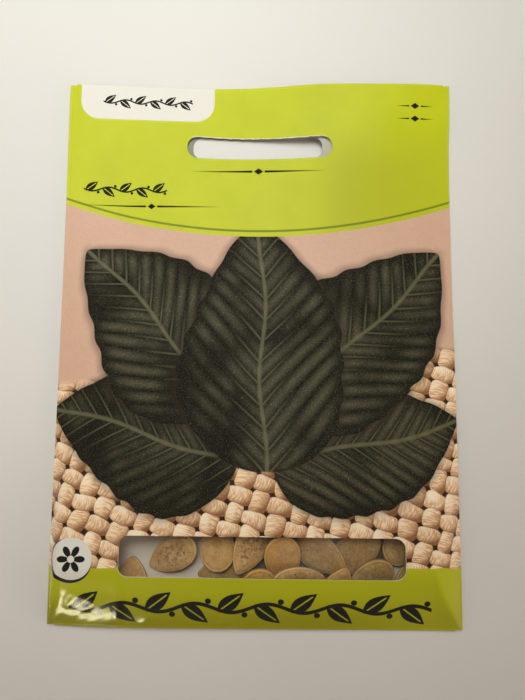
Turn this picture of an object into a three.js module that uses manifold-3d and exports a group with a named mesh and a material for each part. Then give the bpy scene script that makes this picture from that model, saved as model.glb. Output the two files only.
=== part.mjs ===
// A windowed paper seed packet, sealed and full, lying on its back.
// Millimetres, +Z up, +Y towards the header with the hang slot. It rests at z = 0.
// One folded sheet makes the envelope; a clear film closes the window from inside,
// strips of glue hold the folds, and the seeds lie heaped in the bottom third.
import * as THREE from "three";
import { mergeVertices } from "three/addons/utils/BufferGeometryUtils.js";
import Module from "manifold-3d";

const wasm = await Module();
wasm.setup();

// ---- Driving dimensions ----
const WIDTH = 101.6; // 4 in, side fold to side fold
const HEIGHT = 139.7; // 5 1/2 in, bottom fold to top fold
const PAPER = 0.14; // one layer of the sheet
const FILM = 0.08; // window film
const GLUE = 0.06; // a dried strip of glue
const SKIN = 0.02; // clearance on each side of a glue strip
const LOOSE = 0.04; // air between layers that only lie on each other
const FOLD_RUN = 0.5; // how far from an edge the paper starts to turn
const FILL = 5.8; // most room between the panels, where the seeds lie
const LAP_WIDTH = 11; // side lap, inside the back panel
const FLAP_INSET = 1.8; // the flaps are this much narrower than the packet, on each side
const BOTTOM_FLAP = 18;
const TOP_FLAP = 11.85;
const WINDOW = { left: -32.4, right: 36.1, bottom: -56.9, top: -46.8, corner: 2.3 };
const FILM_LIP = { left: 7.4, right: 6.1, bottom: 4, top: 3.9 }; // film beyond the window
const GLUE_INSET = 1.2; // the film's glue stays this far from the window's edge
const SLOT = { left: -19.2, right: 19.5, bottom: 49.6, top: 55.9, corner: 3 };
const SEED = { length: 14.3, width: 9.6, thickness: 2.1 };
const SEED_COUNT = 27;
const SEED_GAP = 0.08; // air round a lying seed
const SEED_LEAN = 0.34; // steepest slope at which a seed lies

const SEAM = GLUE + 2 * SKIN; // spacing of two layers with glue between them
const halfWidth = WIDTH / 2;
const halfHeight = HEIGHT / 2;
const foldX = halfWidth - FOLD_RUN;
const foldY = halfHeight - FOLD_RUN;
const flapX = halfWidth - FLAP_INSET;
const bottomFlapEnd = BOTTOM_FLAP - halfHeight;
const topFlapEnd = halfHeight - TOP_FLAP;
const lapEnd = LAP_WIDTH - halfWidth;
const BELOW = -5; // heights under and over every layer, for the cutting dies
const ABOVE = 12;
const film = {
  left: WINDOW.left - FILM_LIP.left,
  right: WINDOW.right + FILM_LIP.right,
  bottom: WINDOW.bottom - FILM_LIP.bottom,
  top: WINDOW.top + FILM_LIP.top,
};

// ---- The packet's form: heights over the table, from a few knots each ----
// How far each edge stands off the table: [place along the edge, height].
const LEFT_LIFT = [[-70, 0.1], [-56, 0.45], [-27, 0.65], [0, 0.85], [35, 1.35], [70, 2.05]];
const RIGHT_LIFT = [
  [-70, 0.1], [-56, 0.35], [-30, 0.55], [-17, 0.45], [0, 0.25], [12, 0],
  [40, 0], [52, 0.3], [60, 1.3], [70, 1.95],
];
const TOP_LIFT = [
  [-51, 2.05], [-33, 1.15], [-16, 0.15], [-10, 0], [-5, 0.15], [2, 0.7],
  [9, 1.6], [16, 2.45], [26, 2.7], [40, 2.6], [51, 1.95],
];
const BOTTOM_LIFT = [[-51, 0.1], [-41, 0.85], [-27, 1.15], [-3, 0.9], [31, 0.35], [51, 0.1]];
const SIDE_REACH = 18; // a side's lift dies away over this distance
const BOTTOM_REACH = 11;
const TOP_REACH = 42;
// How full the packet is above the heap of seeds, as a share of FILL.
const FULLNESS = [[-45, 1], [-37, 0.94], [-27, 0.72], [-14, 0.42], [0, 0.2], [14, 0.07], [28, 0]];
// The panels part from a fold and reach their full spacing after these distances.
const RISE = { left: 4, right: 7.2, bottom: 15 };
const RISE_SPREAD = 0.5; // above the heap the sides rise more gently, by this much per mm
const HEAP_TOP = -45;
// The filled packet's side folds stand off the table, and draw in as they rise.
const SIDE_STAND = [[-70, 0.3], [-62, 1.2], [-50, 1.6], [-36, 1.5], [-20, 0.9], [0, 0.3], [15, 0]];
const DRAW_IN = 0.38;

// A smooth curve through knots, flat beyond its ends and never past a knot's own height.
function through(knots, x) {
  const last = knots.length - 1;
  if (x <= knots[0][0]) return knots[0][1];
  if (x >= knots[last][0]) return knots[last][1];
  const k = knots.findIndex((knot) => knot[0] > x) - 1;
  const slope = (i) => (knots[i + 1][1] - knots[i][1]) / (knots[i + 1][0] - knots[i][0]);
  const tangent = (i) => {
    if (i === 0 || i === last) return 0;
    const before = slope(i - 1);
    const after = slope(i);
    return before * after <= 0 ? 0 : (2 * before * after) / (before + after);
  };
  const run = knots[k + 1][0] - knots[k][0];
  const t = (x - knots[k][0]) / run;
  const ease = t * t * (3 - 2 * t);
  return (
    knots[k][1] * (1 - ease) +
    knots[k + 1][1] * ease +
    tangent(k) * run * t * (1 - t) * (1 - t) -
    tangent(k + 1) * run * t * t * (1 - t)
  );
}

// The sheet stands off the table along its edges and lies flat in the middle.
function lift(x, y) {
  const left = 1 - THREE.MathUtils.smoothstep(x, -halfWidth, SIDE_REACH - halfWidth);
  const right = THREE.MathUtils.smoothstep(x, halfWidth - SIDE_REACH, halfWidth);
  const bottom = 1 - THREE.MathUtils.smoothstep(y, -halfHeight, BOTTOM_REACH - halfHeight);
  const top = THREE.MathUtils.smoothstep(y, halfHeight - TOP_REACH, halfHeight);
  const sides = left * through(LEFT_LIFT, y) + right * through(RIGHT_LIFT, y);
  const ends = bottom * through(BOTTOM_LIFT, x) + top * through(TOP_LIFT, x);
  const corners =
    left * (bottom * through(LEFT_LIFT, -halfHeight) + top * through(LEFT_LIFT, halfHeight)) +
    right * (bottom * through(RIGHT_LIFT, -halfHeight) + top * through(RIGHT_LIFT, halfHeight));
  return Math.max(0, sides + ends - corners);
}

// The share of the full rise at a share t of the way in from a fold.
const shoulder = (t) => 1 - Math.pow(1 - THREE.MathUtils.clamp(t, 0, 1), 2);

function sideShare(x, y) {
  const spread = RISE_SPREAD * Math.max(0, y - HEAP_TOP);
  const left = shoulder((x + foldX) / (RISE.left + spread));
  const right = shoulder((foldX - x) / (RISE.right + spread));
  return Math.min(left, right);
}

// The lesser of two shares, with the hip between them slightly rounded.
function hip(a, b) {
  const blend = 0.06; // difference in share over which the two sides merge
  const overlap = Math.max(blend - Math.abs(a - b), 0) / blend;
  return Math.max(0, Math.min(a, b) - overlap * overlap * blend * 0.25);
}

// Outer face of the back panel, which rides over the two flaps glued under its ends.
function backOuter(x, y) {
  const overBottomFlap = 1 - THREE.MathUtils.smoothstep(y, bottomFlapEnd, WINDOW.top);
  const overTopFlap = THREE.MathUtils.smoothstep(y, SLOT.top, topFlapEnd);
  const flaps = (PAPER + SEAM) * Math.max(overBottomFlap, overTopFlap);
  return lift(x, y) + through(SIDE_STAND, y) * (1 - sideShare(x, y)) + flaps;
}

// Free height between the two panels.
function room(x, y) {
  const share = hip(sideShare(x, y), shoulder((y + foldY) / RISE.bottom));
  return PAPER + SEAM + LOOSE + FILL * share * through(FULLNESS, y);
}

// The packet narrows where its side folds stand up, and every layer with it.
const narrowing = (y) => 1 - (DRAW_IN * through(SIDE_STAND, y)) / halfWidth;

const frontInner = (x, y) => backOuter(x, y) + PAPER + room(x, y);

// ---- The grid that every thin layer shares, so that neighbours stay parallel ----
function lines(stops, widest) {
  const all = [stops[0]];
  for (let s = 1; s < stops.length; s += 1) {
    const run = stops[s] - stops[s - 1];
    const parts = Math.ceil(run / widest);
    for (let p = 1; p <= parts; p += 1) all.push(stops[s - 1] + (run * p) / parts);
  }
  return all;
}

const shoulderX = 46; // extra lines where the panels curve fastest
const flapGlueStart = -67.4;
const footCurve = -64.8;
const columns = lines(
  [
    -foldX, -flapX, -shoulderX, lapEnd, WINDOW.left, WINDOW.right, film.right, shoulderX,
    flapX, foldX,
  ],
  9,
);
const rows = lines(
  [
    -foldY, flapGlueStart, footCurve, film.bottom, WINDOW.bottom, bottomFlapEnd, WINDOW.top,
    film.top, topFlapEnd, foldY,
  ],
  8,
);
const CLOSE = 0.01; // lines nearer than this are the same line
const between = (all, low, high) => all.filter((v) => v > low - CLOSE && v < high + CLOSE);

// A thin closed solid on a grid: place(i, j) gives the crossing's outer and inner points, and
// the step along i crossed with the step along j points out of the outer face.
function ribbon(along, across, place) {
  const position = [];
  const index = [];
  const at = (side, i, j) => (side * along + i) * across + j;
  const points = [[], []];
  for (let i = 0; i < along; i += 1) {
    for (let j = 0; j < across; j += 1) {
      const [outer, inner] = place(i, j);
      points[0].push(outer);
      points[1].push(inner);
    }
  }
  points.flat().forEach(([x, y, z]) => position.push(x * narrowing(y), y, z));
  // The diagonal always runs from the corner of least x + y, whichever way the quad is walked.
  const quad = (a, b, c, d) => {
    const corners = [a, b, c, d];
    const sums = corners.map((v) => position[3 * v] + position[3 * v + 1]);
    const least = sums.indexOf(Math.min(...sums));
    if (least % 2 === 0) index.push(a, b, c, a, c, d);
    else index.push(a, b, d, b, c, d);
  };
  for (let i = 0; i < along - 1; i += 1) {
    for (let j = 0; j < across - 1; j += 1) {
      quad(at(0, i, j), at(0, i + 1, j), at(0, i + 1, j + 1), at(0, i, j + 1));
      quad(at(1, i, j), at(1, i, j + 1), at(1, i + 1, j + 1), at(1, i + 1, j));
    }
    const end = across - 1;
    quad(at(1, i, 0), at(1, i + 1, 0), at(0, i + 1, 0), at(0, i, 0));
    quad(at(1, i, end), at(0, i, end), at(0, i + 1, end), at(1, i + 1, end));
  }
  for (let j = 0; j < across - 1; j += 1) {
    const end = along - 1;
    quad(at(1, 0, j), at(0, 0, j), at(0, 0, j + 1), at(1, 0, j + 1));
    quad(at(1, end, j), at(1, end, j + 1), at(0, end, j + 1), at(0, end, j));
  }
  const geometry = new THREE.BufferGeometry();
  geometry.setAttribute("position", new THREE.Float32BufferAttribute(position, 3));
  geometry.setIndex(index);
  return geometry;
}

// A flat-lying layer over part of the grid, from its under height to its upper height.
function layer(xs, ys, under, thickness) {
  return ribbon(xs.length, ys.length, (i, j) => {
    const z = under(xs[i], ys[j]);
    return [
      [xs[i], ys[j], z + thickness],
      [xs[i], ys[j], z],
    ];
  });
}

// ---- Solids and cutting dies ----
function solidOf(geometry) {
  const bare = geometry.clone();
  bare.deleteAttribute("normal");
  bare.deleteAttribute("uv");
  const merged = mergeVertices(bare, 1e-4);
  return new wasm.Manifold(
    new wasm.Mesh({
      numProp: 3,
      vertProperties: merged.attributes.position.array,
      triVerts: new Uint32Array(merged.index.array),
    }),
  );
}

function geometryOf(solid) {
  const mesh = solid.getMesh();
  const geometry = new THREE.BufferGeometry();
  geometry.setAttribute("position", new THREE.BufferAttribute(mesh.vertProperties, 3));
  geometry.setIndex(new THREE.BufferAttribute(mesh.triVerts, 1));
  return geometry;
}

// An upright prism with a round-cornered outline, grown by a margin on every side.
function roundDie(hole, margin, low, high) {
  const radius = hole.corner + margin;
  const left = hole.left - margin + radius;
  const right = hole.right + margin - radius;
  const bottom = hole.bottom - margin + radius;
  const top = hole.top + margin - radius;
  const outline = new THREE.Shape();
  outline.absarc(right, bottom, radius, -Math.PI / 2, 0, false);
  outline.absarc(right, top, radius, 0, Math.PI / 2, false);
  outline.absarc(left, top, radius, Math.PI / 2, Math.PI, false);
  outline.absarc(left, bottom, radius, Math.PI, 1.5 * Math.PI, false);
  const die = new THREE.ExtrudeGeometry(outline, {
    depth: high - low,
    bevelEnabled: false,
    curveSegments: 5,
  });
  return solidOf(die.translate(0, 0, low));
}

// The slanted offcuts at both free corners of a flap.
function cornerDies(flapEnd, foldedEdge) {
  const slant = 7;
  const outward = Math.sign(flapEnd - foldedEdge);
  return [-1, 1].map((side) => {
    const corner = new THREE.Shape([
      new THREE.Vector2(side * (flapX - slant), flapEnd),
      new THREE.Vector2(side * flapX, flapEnd - outward * slant),
      new THREE.Vector2(side * halfWidth, flapEnd - outward * slant),
      new THREE.Vector2(side * halfWidth, flapEnd + outward),
      new THREE.Vector2(side * (flapX - slant), flapEnd + outward),
    ]);
    const die = new THREE.ExtrudeGeometry(corner, { depth: ABOVE - BELOW, bevelEnabled: false });
    return solidOf(die.translate(0, 0, BELOW));
  });
}

// ---- The envelope: one sheet, folded round the sides, then up and down over the back ----
function foldedWall() {
  const lap = between(columns, -foldX, lapEnd).reverse();
  const stations = [
    ...lap.map((x) => ({ x, part: "lap" })),
    { x: -halfWidth, part: "left fold" },
    ...columns.map((x) => ({ x, part: "front" })),
    { x: halfWidth, part: "right fold" },
    ...[...columns].reverse().map((x) => ({ x, part: "back" })),
  ];
  return ribbon(stations.length, rows.length, (i, j) => {
    const { x, part } = stations[i];
    const y = rows[j];
    if (part === "front") {
      const z = frontInner(x, y);
      return [[x, y, z + PAPER], [x, y, z]];
    }
    if (part === "back" || part === "lap") {
      const z = backOuter(x, y) + (part === "lap" ? PAPER + SEAM : 0);
      return [[x, y, z], [x, y, z + PAPER]];
    }
    const side = Math.sign(x);
    const under = backOuter(side * foldX, y) + (part === "left fold" ? PAPER + SEAM : 0);
    const middle = (under + frontInner(side * foldX, y) + PAPER) / 2;
    return [[x, y, middle], [x - side * PAPER, y, middle]];
  });
}

// A flap: it leaves the front panel at one end, turns round the fold and lies under the back.
function endFlap(flapEnd) {
  const end = Math.sign(flapEnd);
  const under = end < 0 ? between(rows, -foldY, flapEnd) : between(rows, flapEnd, foldY).reverse();
  const xs = between(columns, -flapX, flapX);
  if (end > 0) xs.reverse();
  const stations = [
    { y: under[1], part: "front" },
    { y: under[0], part: "front" },
    { y: end * halfHeight, part: "fold" },
    ...under.map((y) => ({ y, part: "flap" })),
  ];
  const flap = ribbon(stations.length, xs.length, (i, j) => {
    const { y, part } = stations[i];
    const x = xs[j];
    if (part === "front") {
      const z = frontInner(x, y);
      return [[x, y, z + PAPER], [x, y, z]];
    }
    if (part === "flap") {
      const z = backOuter(x, y) - SEAM;
      return [[x, y, z - PAPER], [x, y, z]];
    }
    const low = backOuter(x, under[0]) - SEAM - PAPER;
    const middle = (low + frontInner(x, under[0]) + PAPER) / 2;
    return [[x, y, middle], [x, y - end * PAPER, middle]];
  });
  return cornerDies(flapEnd, end * halfHeight).reduce((cut, die) => cut.subtract(die), solidOf(flap));
}

function envelope() {
  const overBack = 2; // clear of the back panel and the flap, which the window doesn't cut
  const windowDie = roundDie(WINDOW, 0, overBack, ABOVE);
  const slotDie = roundDie(SLOT, 0, BELOW, ABOVE);
  return geometryOf(
    solidOf(foldedWall())
      .add(endFlap(bottomFlapEnd))
      .add(endFlap(topFlapEnd))
      .subtract(windowDie)
      .subtract(slotDie),
  );
}

// ---- Window film and glue ----
const filmColumns = between(columns, film.left, film.right);
const filmRows = between(rows, film.bottom, film.top);
const filmUnder = (x, y) => frontInner(x, y) - SEAM - FILM;

function windowGlue() {
  const sheet = layer(filmColumns, filmRows, (x, y) => frontInner(x, y) - SKIN - GLUE, GLUE);
  return geometryOf(solidOf(sheet).subtract(roundDie(WINDOW, GLUE_INSET, BELOW, ABOVE)));
}

function sideSeamGlue() {
  const xs = between(columns, -flapX, lapEnd);
  return layer(xs, rows.slice(1, -1), (x, y) => backOuter(x, y) + PAPER + SKIN, GLUE);
}

// Two rows of the grid in from the fold and clear of the slanted corners.
function flapGlue(ys) {
  const xs = between(columns, lapEnd, film.right);
  return layer(xs, ys, (x, y) => backOuter(x, y) - SKIN - GLUE, GLUE);
}

// ---- Seeds ----
// Half the width at u, from the broad end (-1) to the tip (1), as a share of the widest.
const outlineShare = (u) => (Math.sqrt(1 + u) * Math.pow(1 - u, 0.75)) / 1.0255;
// How a round section at u is squeezed to give that outline.
const squeeze = (u) => outlineShare(u) / Math.sqrt(Math.max(1e-6, 1 - u * u));
const thicknessShare = (u) => Math.pow(squeeze(u), 0.6);

function seedGeometry(size) {
  const geometry = new THREE.SphereGeometry(1, 16, 5).rotateX(Math.PI / 2);
  const position = geometry.attributes.position;
  for (let k = 0; k < position.count; k += 1) {
    const u = THREE.MathUtils.clamp(position.getX(k), -0.9999, 0.985);
    position.setXYZ(
      k,
      (u * size.length) / 2,
      (position.getY(k) * squeeze(u) * size.width) / 2,
      (position.getZ(k) * thicknessShare(u) * size.thickness) / 2,
    );
  }
  return geometryOf(solidOf(geometry));
}

// The seeds that show in the window: [middle x, middle y, heading of the tip in degrees], in the
// order they lie, lowest first.
const SHOWN = [
  [-7, -57.2, 178], [19, -43.8, 12], [-9.2, -49.7, 98], [36.6, -48, 62], [-30.3, -59.6, 86],
  [25, -51.4, 28], [-1, -50.2, 240], [28, -57.4, 214], [16.4, -51.8, -32], [6.9, -53.4, 274],
  [-20.2, -52.4, 207], [37.4, -60.6, 100], [1, -60.8, 266], [10.6, -58.2, 8], [19.6, -60.2, 70],
];

// Each seed's size differs a little, by a fixed rule.
function sizeOf(number) {
  return {
    length: SEED.length * (1 + 0.045 * Math.sin(number * 2.4 + 0.6)),
    width: SEED.width * (1 + 0.04 * Math.sin(number * 1.7)),
    thickness: SEED.thickness,
  };
}

// The heap is kept as the height of its top over a fine grid, up to this far from the bottom.
const HEAP_REACH = 50;
const CELL = 0.5;
const cellsAcross = Math.round(WIDTH / CELL);
const cellsUp = Math.round(HEAP_REACH / CELL);
const cellX = (i) => (i + 0.5) * CELL - halfWidth;
const cellY = (j) => (j + 0.5) * CELL - halfHeight;
const heap = new Float32Array(cellsAcross * cellsUp);
const ceiling = new Float32Array(cellsAcross * cellsUp);

// Height of a gridded surface at a point, read off its flat facets' corners.
function facetHeight(surface, x, y) {
  const seat = (all, v) => {
    const k = Math.min(Math.max(all.findIndex((line) => line > v) - 1, 0), all.length - 2);
    return [all[k], all[k + 1], (v - all[k]) / (all[k + 1] - all[k])];
  };
  const [x0, x1, s] = seat(columns, x / narrowing(y));
  const [y0, y1, t] = seat(rows, y);
  const low = surface(x0, y0) * (1 - s) + surface(x1, y0) * s;
  const high = surface(x0, y1) * (1 - s) + surface(x1, y1) * s;
  return low * (1 - t) + high * t;
}

for (let i = 0; i < cellsAcross; i += 1) {
  for (let j = 0; j < cellsUp; j += 1) {
    const x = THREE.MathUtils.clamp(cellX(i), -foldX, foldX);
    const y = THREE.MathUtils.clamp(cellY(j), -foldY, foldY);
    const overLap = x < lapEnd + SEED_GAP ? SEAM + PAPER : 0;
    heap[i * cellsUp + j] = facetHeight(backOuter, x, y) + PAPER + overLap + SEED_GAP;
    ceiling[i * cellsUp + j] = facetHeight(frontInner, x, y) - SEAM - FILM - SEED_GAP;
  }
}

// Every cell that a seed covers, with a margin round it: where it is and half the thickness there.
function footprint(x, y, heading, size) {
  const margin = 0.3;
  const cells = [];
  const length = size.length / 2 + margin;
  const width = size.width / 2 + margin;
  const reach = Math.ceil(length / CELL) + 1;
  const middleI = Math.round((x + halfWidth) / CELL);
  const middleJ = Math.round((y + halfHeight) / CELL);
  for (let i = middleI - reach; i <= middleI + reach; i += 1) {
    for (let j = middleJ - reach; j <= middleJ + reach; j += 1) {
      const dx = cellX(i) - x;
      const dy = cellY(j) - y;
      const u = (dx * Math.cos(heading) + dy * Math.sin(heading)) / length;
      if (Math.abs(u) >= 0.999) continue;
      const v = (dy * Math.cos(heading) - dx * Math.sin(heading)) / (width * squeeze(u));
      const left = 1 - u * u - v * v;
      if (left <= 0) continue;
      if (i < 1 || i >= cellsAcross - 1 || j < 1 || j >= cellsUp - 1) return null;
      const half = (Math.sqrt(left) * thicknessShare(u) * size.thickness) / 2;
      cells.push({ k: i * cellsUp + j, x: cellX(i), y: cellY(j), dx, dy, half });
    }
  }
  return cells;
}

// The lowest way a seed can lie at a place, leaning up to a limit, and still clear the ceiling.
function settle(x, y, heading, size) {
  const cells = footprint(x, y, heading, size);
  if (!cells) return null;
  const steps = 6;
  let best = null;
  for (let a = -steps; a <= steps; a += 1) {
    for (let b = -steps; b <= steps; b += 1) {
      const leanX = (SEED_LEAN * a) / steps;
      const leanY = (SEED_LEAN * b) / steps;
      let z = 0;
      let most = Infinity;
      for (const c of cells) {
        const plane = leanX * c.dx + leanY * c.dy;
        z = Math.max(z, heap[c.k] + c.half - plane);
        most = Math.min(most, ceiling[c.k] - c.half - plane);
      }
      if (z <= most && (!best || z < best.z)) best = { x, y, z, leanX, leanY, heading, size, cells };
    }
  }
  return best;
}

function lay(seed) {
  for (const c of seed.cells) {
    const top = seed.z + seed.leanX * c.dx + seed.leanY * c.dy + c.half + SEED_GAP;
    heap[c.k] = Math.max(heap[c.k], top);
  }
  return seed;
}

const viewMargin = 1;
const inWindow = (c) =>
  c.x > WINDOW.left - viewMargin &&
  c.x < WINDOW.right + viewMargin &&
  c.y > WINDOW.bottom - viewMargin &&
  c.y < WINDOW.top + viewMargin;

// A seed that doesn't show lies as low in the packet as it can, round the window's view.
const POCKET = { left: -42, right: 42, bottom: -63, top: -32 }; // where its middle may be
const POCKET_STEP = 1.5;
const CLIMB = 0.07; // a place 1 mm further up the packet counts as this much higher

function findPlace(number) {
  const size = sizeOf(number);
  let best = null;
  for (let x = POCKET.left; x <= POCKET.right; x += POCKET_STEP) {
    for (let y = POCKET.bottom; y <= POCKET.top; y += POCKET_STEP) {
      const heading = Math.PI * (1 + Math.sin(number * 3.1 + x * 0.9 + y * 1.3));
      const cells = footprint(x, y, heading, size);
      if (!cells || cells.some(inWindow)) continue;
      const seed = settle(x, y, heading, size);
      if (!seed) continue;
      const cost = seed.z + CLIMB * (y - POCKET.bottom);
      if (!best || cost < best.cost) best = { ...seed, cost };
    }
  }
  return best;
}

const seeds = [];
for (const [x, y, degrees] of SHOWN) {
  const seed = settle(x, y, THREE.MathUtils.degToRad(degrees), sizeOf(seeds.length));
  if (!seed) throw new Error(`no room for the shown seed at ${x}, ${y}`);
  seeds.push(lay(seed));
}
while (seeds.length < SEED_COUNT) {
  const seed = findPlace(seeds.length);
  if (!seed) throw new Error(`no room for hidden seed ${seeds.length}`);
  seeds.push(lay(seed));
}

// ---- The finished group ----
const finishes = {
  printedPaper: { color: 0xc8d032, roughness: 0.35, metalness: 0 },
  clearFilm: { color: 0xf2f4f2, roughness: 0.08, metalness: 0, transparent: true, opacity: 0.3 },
  driedGlue: { color: 0xe9e4d2, roughness: 0.5, metalness: 0 },
  seedCoat: { color: 0xb9935f, roughness: 0.65, metalness: 0 },
};
const packet = new THREE.Group();

function addPiece(name, geometry, finish) {
  geometry.computeVertexNormals();
  const piece = new THREE.Mesh(geometry, new THREE.MeshStandardMaterial(finishes[finish]));
  piece.name = name;
  packet.add(piece);
  return piece;
}

addPiece("paper_envelope", envelope(), "printedPaper");
addPiece("window_film", layer(filmColumns, filmRows, filmUnder, FILM), "clearFilm");
addPiece("window_film_glue", windowGlue(), "driedGlue");
addPiece("side_seam_glue", sideSeamGlue(), "driedGlue");
addPiece("bottom_flap_glue", flapGlue(between(rows, flapGlueStart, WINDOW.bottom)), "driedGlue");
addPiece("top_flap_glue", flapGlue(between(rows, topFlapEnd, foldY).slice(0, -1)), "driedGlue");
seeds.forEach((seed, k) => {
  const number = String(k + 1).padStart(2, "0");
  const piece = addPiece(`seed_${number}`, seedGeometry(seed.size), "seedCoat");
  const normal = new THREE.Vector3(-seed.leanX, -seed.leanY, 1).normalize();
  const tilt = new THREE.Quaternion().setFromUnitVectors(new THREE.Vector3(0, 0, 1), normal);
  const turn = new THREE.Quaternion().setFromAxisAngle(new THREE.Vector3(0, 0, 1), seed.heading);
  piece.position.set(seed.x, seed.y, seed.z);
  piece.quaternion.copy(tilt.multiply(turn));
});

export default packet;
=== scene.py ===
import math

import bpy
import numpy as np
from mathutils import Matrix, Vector


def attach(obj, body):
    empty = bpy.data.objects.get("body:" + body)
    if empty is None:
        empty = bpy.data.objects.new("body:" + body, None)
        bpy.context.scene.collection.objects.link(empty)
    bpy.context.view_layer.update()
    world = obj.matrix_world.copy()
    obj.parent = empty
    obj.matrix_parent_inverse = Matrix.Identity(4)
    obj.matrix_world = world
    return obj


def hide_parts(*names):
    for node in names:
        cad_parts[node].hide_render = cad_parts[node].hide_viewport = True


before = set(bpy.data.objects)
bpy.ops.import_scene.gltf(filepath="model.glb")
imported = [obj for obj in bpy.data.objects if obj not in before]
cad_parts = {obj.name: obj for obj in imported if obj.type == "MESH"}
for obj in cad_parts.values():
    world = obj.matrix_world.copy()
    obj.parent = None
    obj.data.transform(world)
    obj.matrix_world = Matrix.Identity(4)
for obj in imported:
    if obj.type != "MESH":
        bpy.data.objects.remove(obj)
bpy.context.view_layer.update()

# ---- Camera ----
# A wide lens close over the packet, a little below its middle and leaning a few degrees, so that
# the full foot of the packet swells towards it.
CAMERA_PLACE = (0.00311, -0.01583, 0.13528)
CAMERA_LEAN = (6.042, 0.629, 0.53)  # degrees
bpy.ops.object.camera_add(location=CAMERA_PLACE, rotation=[math.radians(a) for a in CAMERA_LEAN])
camera = bpy.context.object
camera.name = "camera"
camera.data.lens = 27
camera.data.clip_start = 0.01
bpy.context.scene.camera = camera
bpy.context.scene.view_settings.view_transform = "Standard"

# ---- Table and light ----
# A plain pale table top. A broad soft lamp stands beyond the packet's head, so that the table
# darkens towards the foot, and two more fill in from right and left. These light matt surfaces only:
# the gloss on the foot comes from a small low lamp by the near left, which lights nothing else.
TABLE_SIDE = 2.4
TABLE_COLOUR = (0.70, 0.675, 0.63)


class Channel:
    """A number that varies over a surface. Arithmetic on it adds maths nodes to its tree."""

    def __init__(self, socket):
        self.socket = socket

    def step(self, operation, *others):
        tree = self.socket.id_data
        node = tree.nodes.new("ShaderNodeMath")
        node.operation = operation
        for place, value in zip(node.inputs, (self, *others)):
            give(place, value)
        return Channel(node.outputs[0])

    def __add__(self, other):
        return self.step("ADD", other)

    def __sub__(self, other):
        return self.step("SUBTRACT", other)

    def __rsub__(self, other):
        return self * -1 + other

    def __mul__(self, other):
        return self.step("MULTIPLY", other)

    def __truediv__(self, other):
        return self.step("DIVIDE", other)

    def __pow__(self, other):
        return self.step("POWER", other)

    def __abs__(self):
        return self.step("ABSOLUTE")

    __radd__ = __add__
    __rmul__ = __mul__

    def fade(self, start, end):
        """0 at start, 1 at end, and smooth between them."""
        tree = self.socket.id_data
        node = tree.nodes.new("ShaderNodeMapRange")
        node.interpolation_type = "SMOOTHSTEP"
        give_all(node, Value=self, From_Min=start, From_Max=end)
        return Channel(node.outputs["Result"])


def give(place, value):
    """Links a channel or a socket into a place, or sets a plain value there."""
    if isinstance(value, Channel):
        value = value.socket
    if isinstance(value, bpy.types.NodeSocket):
        place.id_data.links.new(value, place)
    else:
        place.default_value = value


def give_all(node, **values):
    """Gives a node's inputs by their labels, with _ for a space."""
    for label, value in values.items():
        give(node.inputs[label.replace("_", " ")], value)


def noise(place, scale, detail=3.0, roughness=0.5):
    """Cloudy noise from 0 to 1, read at a place."""
    node = place.id_data.nodes.new("ShaderNodeTexNoise")
    give_all(node, Vector=place, Scale=scale, Detail=detail, Roughness=roughness)
    return Channel(node.outputs["Fac"])


def colour_mix(share, below, above):
    """One colour laid over another, as far as a share says."""
    node = share.socket.id_data.nodes.new("ShaderNodeMix")
    node.data_type = "RGBA"
    give(node.inputs[0], share)
    for place, colour in ((node.inputs[6], below), (node.inputs[7], above)):
        give(place, (*colour, 1) if isinstance(colour, tuple) else colour)
    return node.outputs[2]


def millimetres(tree):
    """The surface's own place in the packet's frame, in millimetres."""
    texture = tree.nodes.new("ShaderNodeTexCoord")
    node = tree.nodes.new("ShaderNodeVectorMath")
    node.operation = "SCALE"
    node.inputs["Scale"].default_value = 1000
    give(node.inputs[0], texture.outputs["Object"])
    return node.outputs[0]


def start_material(name, **settings):
    """A material with some plain settings, its shader, and the place on its surface."""
    material = bpy.data.materials.new(name)
    material.use_nodes = True
    shader = material.node_tree.nodes["Principled BSDF"]
    give_all(shader, **settings)
    return material, shader, millimetres(material.node_tree)


def finish_material(shader, colour, roughness, height, depth, strength):
    """Gives the shader its colour and roughness, and a relief that stands a depth in metres."""
    bump = shader.id_data.nodes.new("ShaderNodeBump")
    give_all(bump, Height=height, Distance=depth, Strength=strength)
    give_all(shader, Base_Color=colour, Roughness=roughness, Normal=bump.outputs["Normal"])


bpy.ops.mesh.primitive_plane_add(size=TABLE_SIDE)
table = bpy.context.object
table.name = "table"
material, shader, place = start_material("table_top")
clouds = noise(place, 0.012, 4).fade(0.3, 0.7)
colour = colour_mix(clouds, TABLE_COLOUR, tuple(0.97 * c for c in TABLE_COLOUR))
finish_material(shader, colour, 0.55, noise(place, 1.5), 0.00005, 0.3)
table.data.materials.append(material)

LAMPS = [
    # name, place, where it points, width, degrees of spread, watts, whether it only glints, colour
    ("key_light", (-0.05, 0.22, 0.30), (-0.045, 0.11, 0), 0.32, 76, 0.37, False, (0.95, 1, 0.985)),
    ("fill_light", (0.45, -0.18, 0.14), (0.04, -0.04, 0), 0.3, 180, 0.7, False, (1, 0.94, 0.86)),
    ("side_light", (-0.27, -0.06, 0.16), (-0.088, -0.03, 0), 0.2, 70, 0.02, False, (1, 0.98, 0.95)),
    ("low_lamp", (-0.262, -0.624, 0.238), (-0.04, -0.06, 0), 0.11, 180, 0.5, True, (1, 0.93, 0.62)),
]
for name, place, target, width, spread, watts, glints, colour in LAMPS:
    bpy.ops.object.light_add(type="AREA", location=place)
    lamp = bpy.context.object
    lamp.name = name
    lamp.data.shape = "DISK"
    lamp.data.size = width
    lamp.data.spread = math.radians(spread)
    lamp.data.energy = watts
    lamp.data.color = colour
    lamp.visible_diffuse = not glints
    lamp.visible_glossy = glints
    aim = Vector(target) - lamp.location
    lamp.rotation_euler = aim.to_track_quat("-Z", "Y").to_euler()

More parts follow.
